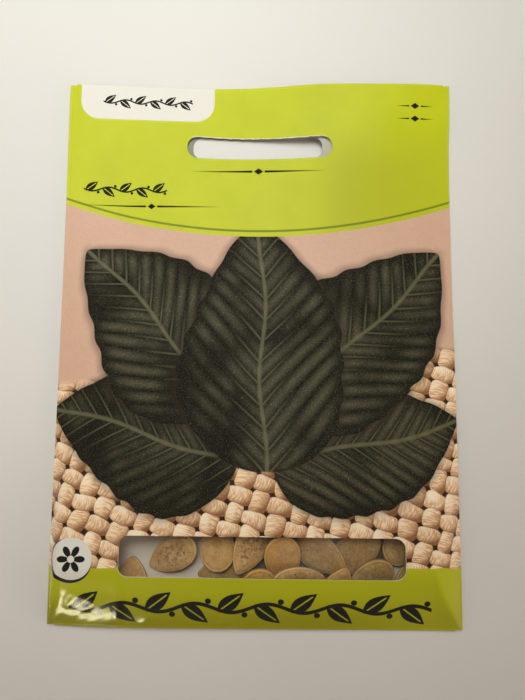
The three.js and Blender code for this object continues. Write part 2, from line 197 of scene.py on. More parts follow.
ROOM_COLOUR = (1.0, 0.76, 0.61, 1)
ROOM_STRENGTH = 0.22
world = bpy.data.worlds.new("room")
world.use_nodes = True
background = world.node_tree.nodes["Background"]
background.inputs["Color"].default_value = ROOM_COLOUR
background.inputs["Strength"].default_value = ROOM_STRENGTH
bpy.context.scene.world = world

# ---- The folded sheet: front, side lap and end flaps ----
# One sheet of coated paper makes the packet. It is die-cut flat, folded round both sides into a
# tube, and its two end flaps are folded over the back and glued down.
WIDTH = 101.6
HEIGHT = 139.7
PAPER = 0.14
FILM = 0.08
GLUE = 0.06
SEAM = 0.10  # between two layers that are glued
LOOSE = 0.04
FOLD_RUN = 0.5
FILL = 6.5
LAP_WIDTH = 11
FLAP_INSET = 1.8
BOTTOM_FLAP = 18
TOP_FLAP = 11.85
WINDOW = {"left": -32.4, "right": 36.1, "bottom": -56.4, "top": -46.8, "corner": 2.3}
SLOT = {"left": -19.2, "right": 19.5, "bottom": 49.6, "top": 55.9, "corner": 3.0}
fold_x = WIDTH / 2 - FOLD_RUN
fold_y = HEIGHT / 2 - FOLD_RUN
flap_x = WIDTH / 2 - FLAP_INSET

# The packet's form: heights over the table, as [place along, height].
LEFT_LIFT = [(-70, 0.1), (-56, 0.45), (-27, 0.65), (0, 0.85), (35, 1.35), (70, 2.05)]
RIGHT_LIFT = [
    (-70, 0.1), (-56, 0.35), (-30, 0.55), (-17, 0.45), (0, 0.25), (12, 0),
    (40, 0), (52, 0.3), (60, 1.3), (70, 1.95),
]
TOP_LIFT = [
    (-51, 2.05), (-33, 1.15), (-16, 0.15), (-10, 0), (-5, 0.15), (2, 0.7),
    (9, 1.6), (16, 2.45), (26, 2.7), (40, 2.6), (51, 1.95),
]
BOTTOM_LIFT = [(-51, 0.1), (-41, 0.85), (-27, 1.15), (-3, 0.9), (31, 0.35), (51, 0.1)]
SIDE_REACH = 18
BOTTOM_REACH = 11
TOP_REACH = 42
FULLNESS = [(-45, 1), (-37, 0.94), (-27, 0.72), (-14, 0.42), (0, 0.2), (14, 0.07), (28, 0)]
RISE = {"left": 4, "right": 7.2, "bottom": 15}
RISE_SPREAD = 0.5
FACET = 0.9  # how nearly flat the paper is pressed beside the right end of the foot
FACET_END = (-54, -42)
FOOT_SLANT = 0.65  # how nearly straight the paper slopes down to the foot
HEAP_TOP = -45
SIDE_STAND = [(-70, 0.3), (-62, 1.2), (-50, 1.6), (-36, 1.5), (-20, 0.9), (0, 0.3), (15, 0)]
DRAW_IN = 0.38

# Creases in the front, as start, end, height and half width: sharp ridges, or valleys below zero.
CREASES = [
    ((-32.6, -57.2), (-33.4, -69.0), 0.30, 1.2),
    ((-50.0, -69.2), (-41.5, -60.5), 0.22, 1.2),
    ((-47.5, -64.5), (-38.0, -66.8), -0.14, 1.0),
    ((-44.5, -60.0), (-37.5, -63.5), 0.14, 0.9),
    ((-46.0, -67.5), (-35.0, -61.8), 0.12, 0.8),
    ((-27.5, -69.4), (-25.0, -66.2), 0.26, 0.9),
    ((-9.0, -69.4), (-6.0, -66.6), 0.24, 0.9),
    ((17.5, -69.4), (21.5, -65.2), 0.28, 0.8),
    ((42.8, -55.5), (45.2, -62.0), 0.12, 1.0),
    ((45.2, -62.0), (50.0, -69.0), 0.10, 1.0),
    ((36.5, -47.0), (44.5, -41.0), 0.10, 1.2),
    ((-33.0, -46.5), (-41.0, -38.5), 0.08, 1.2),
]
# The left end of the foot is finely crumpled: how deep, and where this dies away along x and y.
CRUMPLED = {"height": 0.016, "x": (-40, -30), "y": (-62, -57)}


def through(knots, x):
    """A smooth curve through knots, flat beyond its ends and never past a knot's own height."""
    at, height = np.array(knots, float).T
    slope = np.diff(height) / np.diff(at)
    before, after = slope[:-1], slope[1:]
    both = before + after
    tangent = np.zeros(len(at))
    tangent[1:-1] = np.where(before * after > 0, 2 * before * after / np.where(both, both, 1), 0)
    x = np.clip(x, at[0], at[-1])
    k = np.clip(np.searchsorted(at, x, side="right") - 1, 0, len(at) - 2)
    run = at[k + 1] - at[k]
    t = (x - at[k]) / run
    ease = t * t * (3 - 2 * t)
    level = height[k] * (1 - ease) + height[k + 1] * ease
    return level + run * (tangent[k] * t * (1 - t) ** 2 - tangent[k + 1] * t * t * (1 - t))


def smooth(x, start, end):
    t = np.clip((x - start) / (end - start), 0, 1)
    return t * t * (3 - 2 * t)


def lift(x, y):
    """The sheet stands off the table along its edges and lies flat in the middle."""
    left = 1 - smooth(x, -WIDTH / 2, SIDE_REACH - WIDTH / 2)
    right = smooth(x, WIDTH / 2 - SIDE_REACH, WIDTH / 2)
    bottom = 1 - smooth(y, -HEIGHT / 2, BOTTOM_REACH - HEIGHT / 2)
    top = smooth(y, HEIGHT / 2 - TOP_REACH, HEIGHT / 2)
    sides = left * through(LEFT_LIFT, y) + right * through(RIGHT_LIFT, y)
    ends = bottom * through(BOTTOM_LIFT, x) + top * through(TOP_LIFT, x)
    corners = sum(
        side * (bottom * through(knots, -HEIGHT / 2) + top * through(knots, HEIGHT / 2))
        for side, knots in ((left, LEFT_LIFT), (right, RIGHT_LIFT))
    )
    return np.maximum(0, sides + ends - corners)


def shoulder(t):
    return 1 - (1 - np.clip(t, 0, 1)) ** 2


def slope(t, straight):
    """Rises from 0 to 1, rounded like a shoulder or, where pressed, straight."""
    return shoulder(t) * (1 - straight) + np.clip(t, 0, 1) * straight


def side_share(x, y):
    """How far the panels have parted, going in from the side folds."""
    spread = RISE_SPREAD * np.maximum(0, y - HEAP_TOP)
    left = shoulder((x + fold_x) / (RISE["left"] + spread))
    pressed = FACET * (1 - smooth(y, *FACET_END))
    right = slope((fold_x - x) / (RISE["right"] + spread), pressed)
    return np.minimum(left, right)


def hip(a, b, blend=0.06):
    """The lesser of two shares, with the hip between them slightly rounded."""
    overlap = np.maximum(blend - np.abs(a - b), 0) / blend
    return np.maximum(0, np.minimum(a, b) - overlap * overlap * blend * 0.25)


def stand_off(x, y):
    """How far the sheet stands off the table, apart from what lies under it."""
    return lift(x, y) + through(SIDE_STAND, y) * (1 - side_share(x, y))


def over_flaps(y, bottom_run, top_run):
    """Height that a panel gains over the end flaps, each step taken over a run."""
    over_bottom = 1 - smooth(y, BOTTOM_FLAP - HEIGHT / 2, BOTTOM_FLAP - HEIGHT / 2 + bottom_run)
    over_top = smooth(y, HEIGHT / 2 - TOP_FLAP - top_run, HEIGHT / 2 - TOP_FLAP)
    return (PAPER + SEAM) * np.maximum(over_bottom, over_top)


def back_height(x, y):
    """Outer face of the back panel, which rides over the two flaps glued under its ends."""
    return stand_off(x, y) + over_flaps(y, 5.0, 2.1)


def creased(x, y):
    """Height that the creases add to the front."""
    total = np.zeros_like(x)
    for (x0, y0), (x1, y1), height, width in CREASES:
        run = math.hypot(x1 - x0, y1 - y0)
        along = ((x - x0) * (x1 - x0) + (y - y0) * (y1 - y0)) / run ** 2
        across = ((x - x0) * (y1 - y0) - (y - y0) * (x1 - x0)) / run
        ends = smooth(along, -0.15, 0.2) * (1 - smooth(along, 0.8, 1.15))
        total += height * np.exp(-np.abs(across) / width) * ends
    crumpled = (1 - smooth(x, *CRUMPLED["x"])) * (1 - smooth(y, *CRUMPLED["y"]))
    upright = np.sin(2.6 * x + 1.3 * np.sin(1.1 * y)) * np.sin(2.9 * y + 1.5 * np.sin(0.9 * x))
    slanting = np.sin(1.9 * x - 2.3 * y + 2 * np.sin(0.7 * y))
    total += CRUMPLED["height"] * crumpled * (upright + slanting)
    edge = smooth(fold_x - np.abs(x), 0, 0.8) * smooth(fold_y - np.abs(y), 0, 0.8)
    return total * edge


def front_height(x, y):
    """Outer face of the front panel, which bridges the steps over the flaps."""
    share = hip(side_share(x, y), slope((y + fold_y) / RISE["bottom"], FOOT_SLANT))
    room = PAPER + SEAM + LOOSE + FILL * share * through(FULLNESS, y)
    return stand_off(x, y) + over_flaps(y, 30.0, 22.0) + 2 * PAPER + room + creased(x, y)


def narrowing(y):
    return 1 - DRAW_IN * through(SIDE_STAND, y) / (WIDTH / 2)


FOLD_ARC = 1.27  # length of paper that a fold takes


def folded(s, t):
    """Where a place on the flat sheet's outer face lies once the sheet is folded."""
    x = np.clip(s, -fold_x, fold_x)
    y = np.clip(t, -fold_y, fold_y)
    high = front_height(x, y)
    z = high.copy()
    for flat, at, fold, is_end in ((s, x, fold_x, False), (t, y, fold_y, True)):
        past = np.abs(flat) - fold
        turned = past > 0
        angle = math.pi * np.clip(past / FOLD_ARC, 0, 1)
        beyond = np.maximum(past - FOLD_ARC, 0)
        place = np.sign(flat) * (fold + FOLD_RUN * np.sin(angle) - beyond)
        at[turned] = place[turned]
        if is_end:
            low = back_height(x, np.clip(y, -fold_y, fold_y)) - SEAM - PAPER
        else:
            low = back_height(np.clip(x, -fold_x, fold_x), y) + np.where(s < 0, PAPER + SEAM, 0)
        round_fold = (high + low) / 2 + (high - low) / 2 * np.cos(angle)
        z[turned] = np.where(beyond > 0, low, round_fold)[turned]
    return np.stack([x * narrowing(y), y, z], axis=1)


def raised(surface, s, t, rise):
    """Points over a folded surface, along its outward direction."""
    step = 0.01
    across = surface(s + step, t) - surface(s - step, t)
    up = surface(s, t + step) - surface(s, t - step)
    outward = np.cross(across, up)
    outward /= np.linalg.norm(outward, axis=1)[:, None]
    return surface(s, t) + outward * rise[:, None]


def points_of(piece):
    points = np.zeros(len(piece.data.vertices) * 3)
    piece.data.vertices.foreach_get("co", points)
    return points.reshape(-1, 3)


def move_points(piece, points):
    piece.data.vertices.foreach_set("co", np.asarray(points, float).ravel())
    piece.data.update()


def lay_on(piece, surface, level=0.0):
    """Bends a flat piece, cut in millimetres, to lie at a level over a surface, in metres."""
    s, t, rise = points_of(piece).T
    move_points(piece, 0.001 * raised(surface, s, t, rise + level))


def lines(*stretches):
    """Places of grid lines over stretches given as (start, end, spacing)."""
    places = [stretches[0][0]]
    for start, end, spacing in stretches:
        parts = max(1, round((end - start) / spacing))
        places += [start + (end - start) * (k + 1) / parts for k in range(parts)]
    return np.array(places)


def flat_grid(name, columns, rows):
    """A flat grid with its lines where the piece needs them."""
    bpy.ops.mesh.primitive_grid_add(
        x_subdivisions=len(columns) - 1, y_subdivisions=len(rows) - 1, size=2)
    grid = bpy.context.object
    grid.name = grid.data.name = name
    points = points_of(grid)
    i = np.rint((points[:, 0] + 1) / 2 * (len(columns) - 1)).astype(int)
    j = np.rint((points[:, 1] + 1) / 2 * (len(rows) - 1)).astype(int)
    move_points(grid, np.stack([columns[i], rows[j], 0 * points[:, 2]], axis=1))
    return grid


def set_mode(mode):
    bpy.ops.object.mode_set(mode=mode)


def apply_modifier(piece, kind, **settings):
    bpy.context.view_layer.objects.active = piece
    modifier = piece.modifiers.new(kind.lower(), kind)
    for setting, value in settings.items():
        setattr(modifier, setting, value)
    bpy.ops.object.modifier_apply(modifier=modifier.name)


def delete_faces(piece, unwanted):
    """Deletes the faces whose centre is unwanted."""
    bpy.context.view_layer.objects.active = piece
    set_mode("EDIT")
    bpy.ops.mesh.select_mode(type="FACE")
    bpy.ops.mesh.select_all(action="DESELECT")
    set_mode("OBJECT")
    for face in piece.data.polygons:
        face.select = bool(unwanted(face.center))
    set_mode("EDIT")
    bpy.ops.mesh.delete(type="FACE")
    set_mode("OBJECT")


# Each long edge of the hang slot bows: where it is lowest, how sharply it bends, how far it drops.
LOWER_BOW = (3.0, 0.0011, 0.0)
UPPER_BOW = (4.0, 0.0020, 0.75)


def bow(x, edge):
    lowest, bend, drop = edge
    return (x - lowest) * (x - lowest) * bend - drop


def slot_sag(x, upper):
    """How far the slot's edges bow from straight: 1 is the upper edge and 0 the lower."""
    below = bow(x, LOWER_BOW)
    return below + (bow(x, UPPER_BOW) - below) * upper


def cutting_die(hole, tear=0.0, corner_steps=8):
    """An upright die with rounded corners. Where a slot was torn out, its edges wander by tear."""
    width = hole["right"] - hole["left"]
    height = hole["top"] - hole["bottom"]
    middle = ((hole["right"] + hole["left"]) / 2, (hole["top"] + hole["bottom"]) / 2, -1)
    bpy.ops.mesh.primitive_plane_add(size=1, location=middle)
    die = bpy.context.object
    die.scale = (width, height, 1)
    bpy.ops.object.transform_apply(location=True, rotation=True, scale=True)
    set_mode("EDIT")
    bpy.ops.mesh.bevel(offset=hole["corner"], segments=corner_steps, affect="VERTICES")
    bpy.ops.mesh.select_mode(type="EDGE")
    bpy.ops.mesh.select_all(action="DESELECT")
    set_mode("OBJECT")
    if tear:
        for edge in die.data.edges:
            a, b = (die.data.vertices[k].co for k in edge.vertices)
            edge.select = abs(a.x - b.x) > width / 2
        set_mode("EDIT")
        bpy.ops.mesh.subdivide(number_cuts=90)
        set_mode("OBJECT")
        for vertex in die.data.vertices:
            x, y = vertex.co.x, vertex.co.y
            wander = math.sin(1.9 * x + 0.4) + 0.7 * math.sin(4.3 * x + y) + 0.5 * math.sin(9.1 * x)
            share = 1.0 if y > middle[1] else 0.35
            free = min(1, max(0, (width / 2 - abs(x - middle[0]) - hole["corner"]) / 2))
            upper = min(1, max(0, (y - hole["bottom"]) / height))
            vertex.co.y += tear * share * free * wander + slot_sag(x, upper)
    set_mode("EDIT")
    bpy.ops.mesh.select_all(action="SELECT")
    bpy.ops.mesh.extrude_region_move(TRANSFORM_OT_translate={"value": (0, 0, 2)})
    bpy.ops.mesh.select_all(action="SELECT")
    bpy.ops.mesh.normals_make_consistent(inside=False)
    set_mode("OBJECT")
    return die


def cut_out(piece, die):
    apply_modifier(piece, "BOOLEAN", operation="DIFFERENCE", solver="EXACT", object=die)
    bpy.data.objects.remove(die)


def slant_corners(piece, flap_end, slant=7.0):
    """Trims both free corners of an end flap at a slant."""
    outward = math.copysign(1, flap_end)
    for side in (-1, 1):
        corner = {"left": -slant, "right": slant, "bottom": -slant, "top": slant, "corner": 0.3}
        die = cutting_die(corner, corner_steps=1)
        points = points_of(die)
        turned = np.stack([points[:, 0] - points[:, 1], points[:, 0] + points[:, 1]], axis=1)
        points[:, :2] = turned + (side * flap_x, flap_end + outward * slant)
        move_points(die, points)
        cut_out(piece, die)


def smooth_shading(piece, degrees=35):
    bpy.ops.object.select_all(action="DESELECT")
    piece.select_set(True)
    bpy.context.view_layer.objects.active = piece
    bpy.ops.object.shade_smooth_by_angle(angle=math.radians(degrees))


bottom_end = fold_y + FOLD_ARC + BOTTOM_FLAP - FOLD_RUN
top_end = fold_y + FOLD_ARC + TOP_FLAP - FOLD_RUN
side_turn = fold_x + FOLD_ARC
lap_end = side_turn + LAP_WIDTH - FOLD_RUN
BACK_JOIN = 1.2  # the front's strip runs on this far round the right fold
sheet_columns = lines(
    (-lap_end, -side_turn, 0.9), (-side_turn, -fold_x, 0.16), (-fold_x, -flap_x, 0.33),
    (-flap_x, -44, 0.5), (-44, 40, 0.75), (40, flap_x, 0.5), (flap_x, fold_x, 0.33),
    (fold_x, side_turn, 0.16), (side_turn, side_turn + BACK_JOIN, 0.6),
)
sheet_rows = lines(
    (-bottom_end, -fold_y - FOLD_ARC, 0.9), (-fold_y - FOLD_ARC, -fold_y, 0.16),
    (-fold_y, -52, 0.5), (-52, 66, 0.75), (66, fold_y, 0.5), (fold_y, fold_y + FOLD_ARC, 0.16),
    (fold_y + FOLD_ARC, top_end, 0.9),
)
front_sheet = flat_grid("front_sheet", sheet_columns, sheet_rows)
delete_faces(front_sheet, lambda c: abs(c.x) > flap_x and abs(c.y) > fold_y)
apply_modifier(front_sheet, "SOLIDIFY", thickness=PAPER, offset=-1)
cut_out(front_sheet, cutting_die(WINDOW))
cut_out(front_sheet, cutting_die(SLOT, tear=0.07))
slant_corners(front_sheet, -bottom_end)
slant_corners(front_sheet, top_end)

# Slots: 0 the printed front, 1 the plain bleed on the flaps and side strip, 2 bare paper.
for face in front_sheet.data.polygons:
    turned = abs(face.center.y) > fold_y + FOLD_ARC / 2 or abs(face.center.x) > side_turn
    face.material_index = 2 if face.normal.z < 0.5 else 1 if turned else 0


def lay_out_map(piece, span):
    """A bake map: the outer face large, the inner face small beside it, cut edges in a corner."""
    layer = piece.data.uv_layers.new(name="OFBake")
    low = points_of(piece).min(axis=0)
    small = 0.34
    for face in piece.data.polygons:
        for turn, loop in enumerate(face.loop_indices):
            co = piece.data.vertices[piece.data.loops[loop].vertex_index].co
            u, v = (co.x - low[0]) / span, (co.y - low[1]) / span
            if face.normal.z < -0.5:
                u, v = 0.745 + 0.97 * small * u, 0.01 + small * v
            elif face.normal.z < 0.5:
                u, v = 0.85 + 0.05 * (turn in (1, 2)), 0.85 + 0.05 * (turn in (2, 3))
            else:
                u, v = 0.005 + 0.98 * u, 0.005 + 0.98 * v
            layer.data[loop].uv = (u, v)


lay_out_map(front_sheet, span=bottom_end + top_end)
lay_on(front_sheet, folded)
smooth_shading(front_sheet)


def node_group(name, inputs, outputs):
    """An empty shader node group: its tree, its inputs as channels or sockets, and its outputs."""
    group = bpy.data.node_groups.new(name, "ShaderNodeTree")
    for label, default in inputs.items():
        kind = "NodeSocketVector" if default is None else "NodeSocketFloat"
        socket = group.interface.new_socket(label, in_out="INPUT", socket_type=kind)
        if default is not None:
            socket.default_value = default
    for label in outputs:
        group.interface.new_socket(label, in_out="OUTPUT", socket_type="NodeSocketFloat")
    inward = group.nodes.new("NodeGroupInput").outputs
    outward = group.nodes.new("NodeGroupOutput").inputs
    given = {
        label: inward[label] if default is None else Channel(inward[label])
        for label, default in inputs.items()
    }
    return group, given, outward


def use_group(group, place, **values):
    """Puts a node group in a material and gives its outputs as channels."""
    node = place.id_data.nodes.new("ShaderNodeGroup")
    node.node_tree = group
    give(node.inputs["Place"], place)
    give_all(node, **values)
    return {socket.name: Channel(socket) for socket in node.outputs}


def axes_of(place):
    node = place.id_data.nodes.new("ShaderNodeSeparateXYZ")
    give(node.inputs[0], place)
    return [Channel(socket) for socket in node.outputs]


def vector_of(x, y, z=0.0):
    node = x.socket.id_data.nodes.new("ShaderNodeCombineXYZ")
    for place, value in zip(node.inputs, (x, y, z)):
        give(place, value)
    return node.outputs[0]


def turned_axes(place, centre_x, centre_y, angle):
    """Distances from a centre, along a direction at an angle in radians and across it."""
    x, y, _ = axes_of(place)
    x, y = x - centre_x, y - centre_y
    cos, sin = angle.step("COSINE"), angle.step("SINE")
    return x * cos + y * sin, y * cos - x * sin


# Paper: long pale fibres under the coating, and a faint cloudiness where the pulp lay unevenly.
paper_group, given, out = node_group("Paper", {"Place": None}, ["Fibre", "Cloud"])
stretched = paper_group.nodes.new("ShaderNodeVectorMath")
stretched.operation = "MULTIPLY"
stretched.inputs[1].default_value = (1.0, 2.6, 1.0)
give(stretched.inputs[0], given["Place"])
give(out["Fibre"], noise(stretched.outputs[0], 2.2, 5, 0.6))
give(out["Cloud"], noise(given["Place"], 0.09, 3, 0.5).fade(0.3, 0.7))

# Weave: strands over and under by turns. At each place the higher of the two strands shows, lit from
# the upper left, with fine stripes across it.
weave_group, given, out = node_group(
    "Weave",
    {"Place": None, "Pitch X": 6.0, "Pitch Y": 4.0, "Turn": 0.0, "Wobble": 0.4},
    ["Height", "Light", "Stripe", "Strand"])
warp = weave_group.nodes.new("ShaderNodeTexNoise")
warp.inputs["Scale"].default_value = 0.16
warp.inputs["Detail"].default_value = 1
give(warp.inputs["Vector"], given["Place"])
warp_x, warp_y, _ = axes_of(warp.outputs["Color"])
x, y = turned_axes(given["Place"], 0, 0, given["Turn"])
x = (x + (warp_x - 0.5) * given["Wobble"] * 6) / given["Pitch X"]
y = (y + (warp_y - 0.5) * given["Wobble"] * 6) / given["Pitch Y"]
column, row = x.step("FLOOR"), y.step("FLOOR")
x, y = (x - column) * 2 - 1, (y - row) * 2 - 1
turn_about = (column + row).step("FLOORED_MODULO", 2) * 2 - 1  # 1 where the upright strand is over


def strand_height(across, along, over):
    """A round strand, 0.88 of its pitch wide, that rises where it goes over and dips under."""
    crown = (1 - (across / 0.88) * (across / 0.88)).step("MAXIMUM", 0).step("SQRT")
    return crown * 0.55 + (along * (math.pi / 2)).step("COSINE") * over * 0.45


level_height = strand_height(y, x, turn_about * -1)
upright_height = strand_height(x, y, turn_about)
upright = (upright_height - level_height).fade(-0.02, 0.02)
level_light = y * 0.42 + x * turn_about * 0.25
upright_light = y * turn_about * 0.25 - x * 0.42
give(out["Height"], level_height.step("MAXIMUM", upright_height))
give(out["Light"], level_light + (upright_light - level_light) * upright + 0.5)
strand = (column * 12.9898 + row * 78.233).step("SINE") * 43758.5453
strand = strand - strand.step("FLOOR")
along, across = x + (y - x) * upright, y + (x - y) * upright
stripe_place = vector_of(
    along * 5.5 + across * across * 1.2 + strand * 31, across * 0.9, upright * 7)
give(out["Stripe"], noise(stripe_place, 1.3, 3, 0.6))
give(out["Strand"], strand)

# Leaf: a broad leaf with a pointed tip, a midrib and paired side veins with swellings between.
leaf_group, given, out = node_group(
    "Leaf",
    {"Place": None, "Centre X": 0.0, "Centre Y": 0.0, "Angle": 0.0, "Length": 40.0, "Width": 20.0},
    ["Mask", "Vein", "Swell", "Shadow"])
along, across = turned_axes(given["Place"], given["Centre X"], given["Centre Y"], given["Angle"])
across = across + (along * 0.16).step("SINE") * 0.9
u = (along / (given["Length"] * 0.5)).step("MAXIMUM", -1).step("MINIMUM", 1)
teeth = (u * 26).step("SINE") * 0.02
outline = (1 + u) ** 0.5 * (1 - u) ** 0.85 * 0.96 + teeth * (1 - u * u)
edge = outline * given["Width"] * 0.5 - abs(across)
inside = (given["Length"] * 0.5 - abs(along)).fade(0, 0.4)
mask = edge.fade(-0.12, 0.14) * inside
midrib = abs(across).fade(0.75, 0.15)
phase = (along - abs(across) * 1.05) / (given["Length"] * 0.085)
nearest = abs(phase - phase.step("ROUND"))
side_vein = nearest.fade(0.11, 0.02) * abs(across).fade(9.5, 1.0)
give(out["Mask"], mask)
give(out["Vein"], midrib.step("MAXIMUM", side_vein * 0.75))
give(out["Swell"], nearest.fade(0.0, 0.5) * edge.fade(0, 5))
give(out["Shadow"], edge.fade(-2.6, 0.4) * (given["Length"] * 0.5 + 2 - abs(along)).fade(0, 3))

# Patch: a rectangle with round corners. A disc is a patch whose corners take all of it.
patch_group, given, out = node_group(
    "Patch",
    {"Place": None, "Centre X": 0.0, "Centre Y": 0.0, "Half X": 5.0, "Half Y": 5.0, "Corner": 1.0},
    ["Mask", "Inset"])
x, y, _ = axes_of(given["Place"])
beyond_x = abs(x - given["Centre X"]) - given["Half X"] + given["Corner"]
beyond_y = abs(y - given["Centre Y"]) - given["Half Y"] + given["Corner"]
round_x, round_y = beyond_x.step("MAXIMUM", 0), beyond_y.step("MAXIMUM", 0)
flat_part = beyond_x.step("MAXIMUM", beyond_y).step("MINIMUM", 0)
inset = given["Corner"] - (round_x * round_x + round_y * round_y).step("SQRT") - flat_part
give(out["Inset"], inset)
give(out["Mask"], inset.fade(-0.07, 0.07))

# Vine: a border of pointed leaves that lean up and down by turns off a wavy stem.
vine_group, given, out = node_group(
    "Vine",
    {"Place": None, "Start": -40.0, "End": 40.0, "Level": 0.0, "Pitch": 8.0, "Stem": 0.35},
    ["Mask"])
x, y, _ = axes_of(given["Place"])
pitch = given["Pitch"]
cell = (x - given["Start"]) / pitch
number = cell.step("FLOOR")
down = number.step("FLOORED_MODULO", 2)
flip = 1 - down * 2
run = (cell - number - 0.5) * pitch
rise = (y - given["Level"]) * flip
stem_wave = (cell * math.pi).step("SINE") * pitch * 0.13
stem = abs(y - given["Level"] + stem_wave).fade(given["Stem"] + 0.07, given["Stem"] - 0.07)
LEAN = math.radians(38)
forward = (run + pitch * 0.02) * math.cos(LEAN) + (rise - pitch * 0.17) * math.sin(LEAN)
aside = (rise - pitch * 0.17) * math.cos(LEAN) - (run + pitch * 0.02) * math.sin(LEAN)
share = (forward / (pitch * 0.47)).step("MAXIMUM", -1).step("MINIMUM", 1)
belly = (1 - share * share) * (1 - share * 0.35) * pitch * 0.215
leaf = (belly - abs(aside)).fade(-0.06, 0.08) * abs(forward).fade(pitch * 0.47, pitch * 0.46)
rib = abs(aside).fade(pitch * 0.028, pitch * 0.012) * share.fade(0.75, 0.6)
berry_x = run - pitch * 0.36
berry_y = rise + pitch * 0.20
berry = (berry_x * berry_x + berry_y * berry_y).step("SQRT").fade(pitch * 0.095, pitch * 0.075)
ends = (x - given["Start"]).fade(0, 0.1) * (given["End"] - x).fade(0, 0.1)
give(out["Mask"], (leaf * (1 - rib)).step("MAXIMUM", stem).step("MAXIMUM", berry) * ends)

# Rule: a tapered line with a diamond at its middle.
rule_group, given, out = node_group(
    "Rule", {"Place": None, "Centre X": 0.0, "Centre Y": 0.0, "Half": 10.0, "Weight": 0.3}, ["Mask"])
x, y, _ = axes_of(given["Place"])
x, y = abs(x - given["Centre X"]), abs(y - given["Centre Y"])
weight = given["Weight"]
line = y.fade(weight * (1 - x / given["Half"]) + 0.05, weight * (1 - x / given["Half"]) - 0.05)
gap = x.fade(weight * 4.6, weight * 5.2)
diamond = (x * 0.7 + y).fade(weight * 2.6 + 0.05, weight * 2.6 - 0.05)
give(out["Mask"], (line * gap * x.fade(given["Half"], given["Half"] * 0.98)).step("MAXIMUM", diamond))

WHITE_PAPER = (0.73, 0.70, 0.62)
LIME = (0.525, 0.57, 0.014)
LIME_SHADE = (0.490, 0.535, 0.012)
LIME_DARKER_PATCH = (0.435, 0.455, 0.022)
LIME_FOOT_PAINTED_SHADE = (0.455, 0.465, 0.010)
LIME_BOTTOM_PAINTED_SHADE = (0.315, 0.305, 0.007)
INK = (0.010, 0.012, 0.008)
LINEN = (0.66, 0.425, 0.305)
LINEN_SHADE = (0.56, 0.345, 0.235)
STRAW_GLEAM = (0.99, 0.86, 0.63)
STRAW_LIGHT = (0.92, 0.66, 0.41)
STRAW = (0.60, 0.345, 0.175)
STRAW_SHADE = (0.27, 0.115, 0.045)
STRAW_GAP = (0.040, 0.017, 0.010)
LEAF_DARK = (0.0085, 0.0090, 0.0055)
LEAF_LIGHT = (0.085, 0.078, 0.045)
LEAF_SPECK = (0.23, 0.20, 0.10)
LEAF_VEIN = (0.165, 0.160, 0.080)
FOOT_TOP = -53.93
FOOT_TILT = 0.0117  # the foot's edge rises a little to the right
FOOT_DIP = 1.1  # and dips where it meets the folds
GROUND_LINE = -6.0  # where the cloth gives way to the woven straw
HEADER_DIP = 28.5
HEADER_RISE = 8.0
# Broad leaves fanned out over the straw: middle x, middle y, direction in degrees, length, width.
LEAVES = [
    (-27.5, -23.0, 165, 49, 34),
    (27.5, -25.0, 13, 48, 33),
    (-25.0, 4.5, 133, 56, 38),
    (27.5, 3.0, 45, 58, 38),
    (1.5, 0.5, 91, 65, 42),
]
TAB = {"left": -47.7, "right": -12.1, "bottom": 60.2, "top": HEIGHT / 2 + 8, "corner": 5.0}
BADGE = {"x": -43.2, "y": -52.3, "radius": 5.3}
# Vines: start, end, level, pitch, stem.
VINES = [
    (-44.5, 42.5, -64.1, 8.7, 0.5),
    (-46.3, -24.3, 41.0, 4.4, 0.24),
    (-41.9, -17.9, 65.2, 4.0, 0.22),
]
# Ruled lines: middle x, middle y, half their length, weight.
RULES = [
    (0.0, 46.3, 18.0, 0.34),
    (-28.4, 36.6, 18.5, 0.30),
    (41.4, 63.6, 5.0, 0.32),
    (41.4, 60.2, 5.0, 0.32),
]

GLOSS = {"Coat_Roughness": 0.15, "Coat_Weight": 0.8, "Specular_IOR_Level": 0.03}
printed, shader, place = start_material("printed_paper", **GLOSS)
x, y, _ = axes_of(place)
paper = use_group(paper_group, place)

linen = use_group(
    weave_group, place, Pitch_X=0.62, Pitch_Y=0.62, Turn=math.radians(38), Wobble=0.04)
linen_light = linen["Height"] * 0.6 + linen["Strand"] * 0.2 + noise(place, 0.12, 2) * 0.25
linen_colour = colour_mix(linen_light, LINEN_SHADE, LINEN)
straw = use_group(
    weave_group, place, Pitch_X=5.0, Pitch_Y=4.3, Turn=math.radians(-17), Wobble=0.34)
straw_light = straw["Light"] * 0.80 + straw["Height"] * 0.38 + straw["Strand"] * 0.20 - 0.20
straw_body = colour_mix(straw["Stripe"].fade(0.40, 0.60), STRAW, STRAW_LIGHT)
straw_body = colour_mix(straw_light.fade(0.62, 0.12), straw_body, STRAW_SHADE)
straw_body = colour_mix(straw_light.fade(0.62, 0.98) * 0.8, straw_body, STRAW_GLEAM)
straw_colour = colour_mix(straw["Height"].fade(0.38, 0.24), straw_body, STRAW_GAP)
ground_edge = (GROUND_LINE + x * 0.10 - y).fade(-1.4, 1.4)
picture = colour_mix(ground_edge, linen_colour, straw_colour)

for leaf_x, leaf_y, degrees, length, width in LEAVES:
    leaf = use_group(
        leaf_group, place, Centre_X=leaf_x, Centre_Y=leaf_y, Angle=math.radians(degrees),
        Length=length, Width=width)
    mottle = noise(place, 1.9, 4, 0.7)
    sheen = noise(place, 0.07, 2).fade(0.3, 0.65)
    tone = (leaf["Swell"] * 0.75 + mottle.fade(0.45, 0.8) * 0.25) * sheen
    blade = colour_mix(tone, LEAF_DARK, LEAF_LIGHT)
    specks = noise(place, 4.2, 1, 0.5).fade(0.60, 0.70)
    blade = colour_mix(specks * (tone * 0.6 + 0.25), blade, LEAF_SPECK)
    blade = colour_mix(leaf["Vein"] * 0.6, blade, LEAF_VEIN)
    shaded = colour_mix(leaf["Shadow"] * 0.5, picture, (0.03, 0.02, 0.012))
    picture = colour_mix(leaf["Mask"], shaded, blade)

